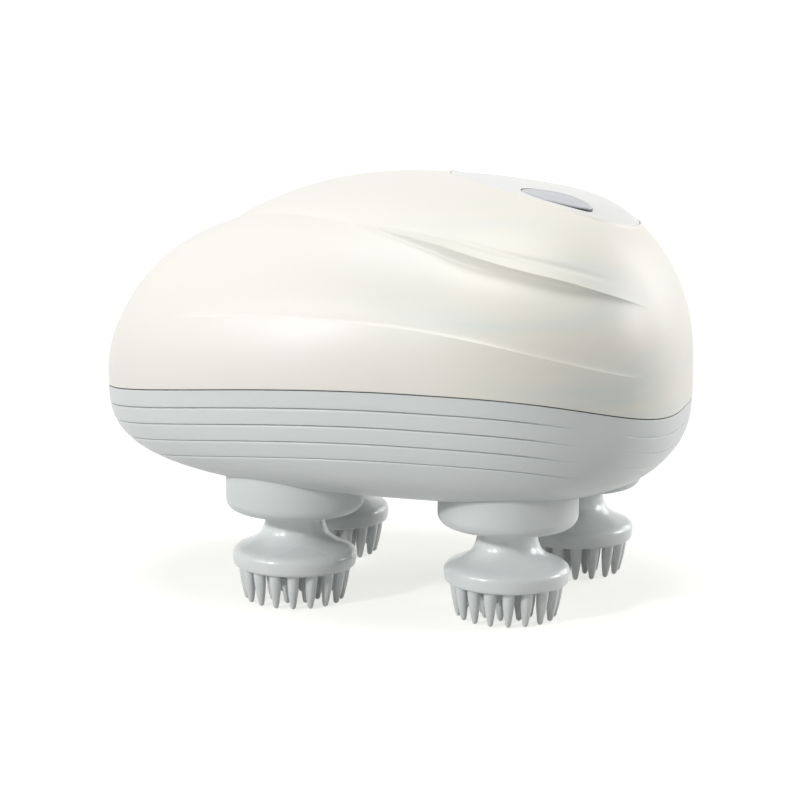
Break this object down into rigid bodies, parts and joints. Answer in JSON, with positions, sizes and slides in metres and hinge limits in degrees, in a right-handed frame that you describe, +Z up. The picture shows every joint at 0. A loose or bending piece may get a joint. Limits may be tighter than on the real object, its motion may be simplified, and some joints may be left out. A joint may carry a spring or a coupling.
{
  "type": "electric scalp massager",
  "caption": "Handheld scalp massager: a domed two-part body on turning soft-toothed massage heads, with a top button, a motor and a spur gear train inside.",
  "frame": {"origin": "on the table, under the middle of the body's plan box, at the height of the tooth tips that the massager stands on", "axes": "+X along the body towards its blunt end, +Y towards the back of the body, +Z up, square to the table"},
  "size_m": [0.122, 0.09, 0.0875],
  "materials": {
    "cover_white": "pearlescent gloss",
    "shell_grey": "satin",
    "panel_grey": "satin",
    "button_grey": "satin",
    "seal_rubber": "matt",
    "head_silicone": "satin silicone",
    "nylon": "natural",
    "steel": "bright",
    "sintered_bronze": "sintered",
    "frame_plastic": "moulded",
    "motor_can": "plated",
    "battery_wrap": "film",
    "circuit_board": "solder mask",
    "switch_plastic": "moulded"
  },
  "bodies": {
    "body": {"lower_shell": "shell_grey", "cover": "cover_white", "top_panel": "panel_grey", "seam_seal": "seal_rubber", "collar_front_left": "shell_grey", "collar_front_right": "shell_grey", "collar_rear_right": "shell_grey", "collar_rear_left": "shell_grey", "bush_front_left": "sintered_bronze", "bush_front_right": "sintered_bronze", "bush_rear_right": "sintered_bronze", "bush_rear_left": "sintered_bronze", "gearbox_base": "frame_plastic", "gearbox_top": "frame_plastic", "gear_pins": "steel", "motor": "motor_can", "battery": "battery_wrap", "battery_tray": "frame_plastic", "switch_board": "circuit_board", "tact_switch": "switch_plastic", "control_board": "circuit_board", "charge_socket": "steel", "gearbox_screws": "steel", "cover_screws": "steel", "board_screws": "steel"},
    "massage_head_front_left": {"head_front_left": "head_silicone", "core_front_left": "nylon", "spindle_front_left": "steel", "gear_front_left": "nylon"},
    "massage_head_front_right": {"head_front_right": "head_silicone", "core_front_right": "nylon", "spindle_front_right": "steel", "gear_front_right": "nylon"},
    "massage_head_rear_right": {"head_rear_right": "head_silicone", "core_rear_right": "nylon", "spindle_rear_right": "steel", "gear_rear_right": "nylon"},
    "massage_head_rear_left": {"head_rear_left": "head_silicone", "core_rear_left": "nylon", "spindle_rear_left": "steel", "gear_rear_left": "nylon"},
    "idler_left": {"idler_left": "nylon"},
    "idler_right": {"idler_right": "nylon"},
    "centre_gear": {"centre_gear": "nylon"},
    "motor_rotor": {"motor_shaft": "steel", "motor_pinion": "sintered_bronze"},
    "button": {"power_button": "button_grey"}
  },
  "joints": [
    {"name": "head_front_left_spin", "type": "hinge", "parent": "body", "child": "massage_head_front_left", "pos_m": [-0.0162, -0.02086, 0.022], "axis": [0, 0, 1], "continuous": true},
    {"name": "head_front_right_spin", "type": "hinge", "parent": "body", "child": "massage_head_front_right", "pos_m": [0.029, -0.02086, 0.022], "axis": [0, 0, 1], "continuous": true},
    {"name": "head_rear_right_spin", "type": "hinge", "parent": "body", "child": "massage_head_rear_right", "pos_m": [0.0338, 0.02086, 0.022], "axis": [0, 0, 1], "continuous": true},
    {"name": "head_rear_left_spin", "type": "hinge", "parent": "body", "child": "massage_head_rear_left", "pos_m": [-0.021, 0.02086, 0.022], "axis": [0, 0, 1], "continuous": true},
    {"name": "idler_left_spin", "type": "hinge", "parent": "body", "child": "idler_left", "pos_m": [-0.0186, 0, 0.042], "axis": [0, 0, 1], "continuous": true},
    {"name": "idler_right_spin", "type": "hinge", "parent": "body", "child": "idler_right", "pos_m": [0.0314, 0, 0.042], "axis": [0, 0, 1], "continuous": true},
    {"name": "centre_gear_spin", "type": "hinge", "parent": "body", "child": "centre_gear", "pos_m": [0.0064, 0, 0.042], "axis": [0, 0, 1], "continuous": true},
    {"name": "motor_spin", "type": "hinge", "parent": "body", "child": "motor_rotor", "pos_m": [0.0064, 0.024, 0.042], "axis": [0, 0, 1], "continuous": true},
    {"name": "button_press", "type": "slide", "parent": "body", "child": "button", "axis": [-0.2071, 0.0668, -0.976], "range_m": [0, 0.0008], "stiffness_N_per_m": 1000}
  ],
  "couplings": [
    {"joint": "head_front_left_spin", "follows": "centre_gear_spin", "ratio": 0.23932},
    {"joint": "head_front_right_spin", "follows": "centre_gear_spin", "ratio": 0.23932},
    {"joint": "head_rear_right_spin", "follows": "centre_gear_spin", "ratio": 0.23932},
    {"joint": "head_rear_left_spin", "follows": "centre_gear_spin", "ratio": 0.23932},
    {"joint": "idler_left_spin", "follows": "centre_gear_spin", "ratio": -0.38889},
    {"joint": "idler_right_spin", "follows": "centre_gear_spin", "ratio": -0.38889},
    {"joint": "motor_spin", "follows": "centre_gear_spin", "ratio": -7}
  ]
}
